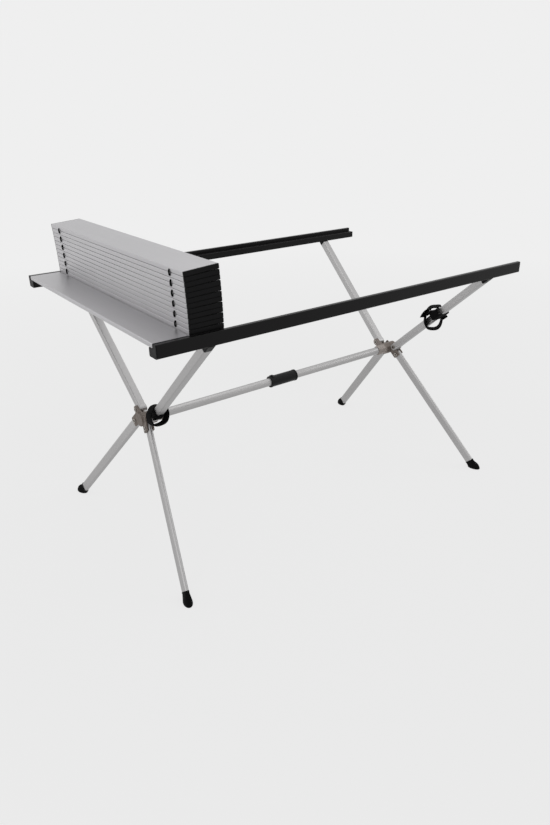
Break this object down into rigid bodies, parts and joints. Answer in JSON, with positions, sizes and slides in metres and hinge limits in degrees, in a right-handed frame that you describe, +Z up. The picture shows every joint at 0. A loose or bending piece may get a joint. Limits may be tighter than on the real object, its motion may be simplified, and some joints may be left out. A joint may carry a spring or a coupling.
{
  "type": "roll top camp table",
  "caption": "Folding camp table: hollow slats on elastic cords zig-zag over two rails, on arms and legs that fold about two hubs joined by a spreader.",
  "frame": {"origin": "on the floor under the middle of the rails", "axes": "+X along the rails away from the folded slats, +Y from front to rear, +Z up"},
  "size_m": [1.1, 0.7, 0.7723],
  "materials": {
    "slat_aluminium": "satin silver anodised",
    "cap_plastic": "moulded black",
    "elastic_cord": "braided black sheath",
    "rail_black": "satin black anodised",
    "hub_casting": "cast, warm grey",
    "rivet_steel": "plain",
    "tube_aluminium": "satin grey anodised",
    "coupler_plastic": "moulded black",
    "webbing": "woven black webbing",
    "foot_rubber": "matte black"
  },
  "bodies": {
    "frame": {"hub_left": "hub_casting", "hub_right": "hub_casting", "hub_pins": "rivet_steel", "spreader_left": "tube_aluminium", "spreader_right": "tube_aluminium", "spreader_coupler": "coupler_plastic"},
    "button": {"coupler_button": "coupler_plastic"},
    "top": {"rail_front": "rail_black", "rail_rear": "rail_black", "rail_end_caps": "cap_plastic", "slat_01": "slat_aluminium", "slat_02": "slat_aluminium", "slat_caps_01_02": "cap_plastic", "cord_02": "elastic_cord"},
    "front_arms": {"arm_front_left": "tube_aluminium", "arm_front_right": "tube_aluminium", "arm_plugs_front": "cap_plastic", "strap_left": "webbing", "strap_right": "webbing"},
    "rear_arms": {"arm_rear_left": "tube_aluminium", "arm_rear_right": "tube_aluminium", "arm_plugs_rear": "cap_plastic"},
    "leg_front_left": {"leg_front_left": "tube_aluminium", "foot_front_left": "foot_rubber"},
    "leg_front_right": {"leg_front_right": "tube_aluminium", "foot_front_right": "foot_rubber"},
    "leg_rear_left": {"leg_rear_left": "tube_aluminium", "foot_rear_left": "foot_rubber"},
    "leg_rear_right": {"leg_rear_right": "tube_aluminium", "foot_rear_right": "foot_rubber"},
    "slat_03": {"slat_03": "slat_aluminium", "slat_caps_03": "cap_plastic"},
    "slat_04": {"slat_04": "slat_aluminium", "slat_caps_04": "cap_plastic", "cord_04": "elastic_cord"},
    "slat_05": {"slat_05": "slat_aluminium", "slat_caps_05": "cap_plastic"},
    "slat_06": {"slat_06": "slat_aluminium", "slat_caps_06": "cap_plastic", "cord_06": "elastic_cord"},
    "slat_07": {"slat_07": "slat_aluminium", "slat_caps_07": "cap_plastic"},
    "slat_08": {"slat_08": "slat_aluminium", "slat_caps_08": "cap_plastic", "cord_08": "elastic_cord"},
    "slat_09": {"slat_09": "slat_aluminium", "slat_caps_09": "cap_plastic"},
    "slat_10": {"slat_10": "slat_aluminium", "slat_caps_10": "cap_plastic", "cord_10": "elastic_cord"},
    "slat_11": {"slat_11": "slat_aluminium", "slat_caps_11": "cap_plastic"},
    "slat_12": {"slat_12": "slat_aluminium", "slat_caps_12": "cap_plastic", "cord_12": "elastic_cord"},
    "slat_13": {"slat_13": "slat_aluminium", "slat_caps_13": "cap_plastic"},
    "slat_14": {"slat_14": "slat_aluminium", "slat_caps_14": "cap_plastic", "cord_14": "elastic_cord"}
  },
  "joints": [
    {"name": "button_press", "type": "slide", "parent": "frame", "child": "button", "axis": [0, 0, -1], "range_m": [0, 0.0026], "stiffness_N_per_m": 900},
    {"name": "top_lift", "type": "slide", "parent": "frame", "child": "top", "axis": [0, 0, 1], "range_m": [0, 0.32]},
    {"name": "front_arms_fold", "type": "hinge", "parent": "frame", "child": "front_arms", "pos_m": [0, -0.035, 0.3454], "axis": [-1, 0, 0], "range_deg": [0, 46]},
    {"name": "rear_arms_fold", "type": "hinge", "parent": "frame", "child": "rear_arms", "pos_m": [0, 0.035, 0.3454], "axis": [1, 0, 0], "range_deg": [0, 46]},
    {"name": "leg_front_left_fold", "type": "hinge", "parent": "frame", "child": "leg_front_left", "pos_m": [-0.436, -0.0306, 0.3174], "axis": [0.9834, -0.1211, -0.1349], "range_deg": [0, 40]},
    {"name": "leg_front_right_fold", "type": "hinge", "parent": "frame", "child": "leg_front_right", "pos_m": [0.436, -0.0306, 0.3174], "axis": [0.9834, 0.1211, 0.1349], "range_deg": [0, 40]},
    {"name": "leg_rear_left_fold", "type": "hinge", "parent": "frame", "child": "leg_rear_left", "pos_m": [-0.436, 0.0306, 0.3174], "axis": [-0.9834, -0.1211, 0.1349], "range_deg": [0, 40]},
    {"name": "leg_rear_right_fold", "type": "hinge", "parent": "frame", "child": "leg_rear_right", "pos_m": [0.436, 0.0306, 0.3174], "axis": [-0.9834, 0.1211, -0.1349], "range_deg": [0, 40]},
    {"name": "slat_03_unfold", "type": "hinge", "parent": "top", "child": "slat_03", "pos_m": [-0.39286, 0, 0.64512], "axis": [0, 1, 0], "range_deg": [0, 180], "deforming": ["cord_02"]},
    {"name": "slat_04_unfold", "type": "hinge", "parent": "slat_03", "child": "slat_04", "pos_m": [-0.47143, 0, 0.65528], "axis": [0, -1, 0], "range_deg": [0, 179.3], "deforming": ["cord_04"]},
    {"name": "slat_05_unfold", "type": "hinge", "parent": "slat_04", "child": "slat_05", "pos_m": [-0.39299, 0, 0.66638], "axis": [0, 1, 0], "range_deg": [0, 180]},
    {"name": "slat_06_unfold", "type": "hinge", "parent": "slat_05", "child": "slat_06", "pos_m": [-0.47168, 0, 0.67557], "axis": [0, -1, 0], "range_deg": [0, 179.3], "deforming": ["cord_06"]},
    {"name": "slat_07_unfold", "type": "hinge", "parent": "slat_06", "child": "slat_07", "pos_m": [-0.39338, 0, 0.68764], "axis": [0, 1, 0], "range_deg": [0, 180]},
    {"name": "slat_08_unfold", "type": "hinge", "parent": "slat_07", "child": "slat_08", "pos_m": [-0.47217, 0, 0.69587], "axis": [0, -1, 0], "range_deg": [0, 179.3], "deforming": ["cord_08"]},
    {"name": "slat_09_unfold", "type": "hinge", "parent": "slat_08", "child": "slat_09", "pos_m": [-0.39403, 0, 0.70889], "axis": [0, 1, 0], "range_deg": [0, 180]},
    {"name": "slat_10_unfold", "type": "hinge", "parent": "slat_09", "child": "slat_10", "pos_m": [-0.47292, 0, 0.71615], "axis": [0, -1, 0], "range_deg": [0, 179.3], "deforming": ["cord_10"]},
    {"name": "slat_11_unfold", "type": "hinge", "parent": "slat_10", "child": "slat_11", "pos_m": [-0.39493, 0, 0.73013], "axis": [0, 1, 0], "range_deg": [0, 180]},
    {"name": "slat_12_unfold", "type": "hinge", "parent": "slat_11", "child": "slat_12", "pos_m": [-0.47391, 0, 0.73643], "axis": [0, -1, 0], "range_deg": [0, 179.3], "deforming": ["cord_12"]},
    {"name": "slat_13_unfold", "type": "hinge", "parent": "slat_12", "child": "slat_13", "pos_m": [-0.3961, 0, 0.75136], "axis": [0, 1, 0], "range_deg": [0, 180]},
    {"name": "slat_14_unfold", "type": "hinge", "parent": "slat_13", "child": "slat_14", "pos_m": [-0.47515, 0, 0.75669], "axis": [0, -1, 0], "range_deg": [0, 179.3], "deforming": ["cord_14"]}
  ],
  "couplings": [
    {"joint": "front_arms_fold", "follows": "top_lift", "rad_per_m": 2.5089},
    {"joint": "rear_arms_fold", "follows": "top_lift", "rad_per_m": 2.5089},
    {"joint": "slat_04_unfold", "follows": "slat_03_unfold", "ratio": 0.99611},
    {"joint": "slat_06_unfold", "follows": "slat_05_unfold", "ratio": 0.99611},
    {"joint": "slat_08_unfold", "follows": "slat_07_unfold", "ratio": 0.99611},
    {"joint": "slat_10_unfold", "follows": "slat_09_unfold", "ratio": 0.99611},
    {"joint": "slat_12_unfold", "follows": "slat_11_unfold", "ratio": 0.99611},
    {"joint": "slat_14_unfold", "follows": "slat_13_unfold", "ratio": 0.99611}
  ]
}
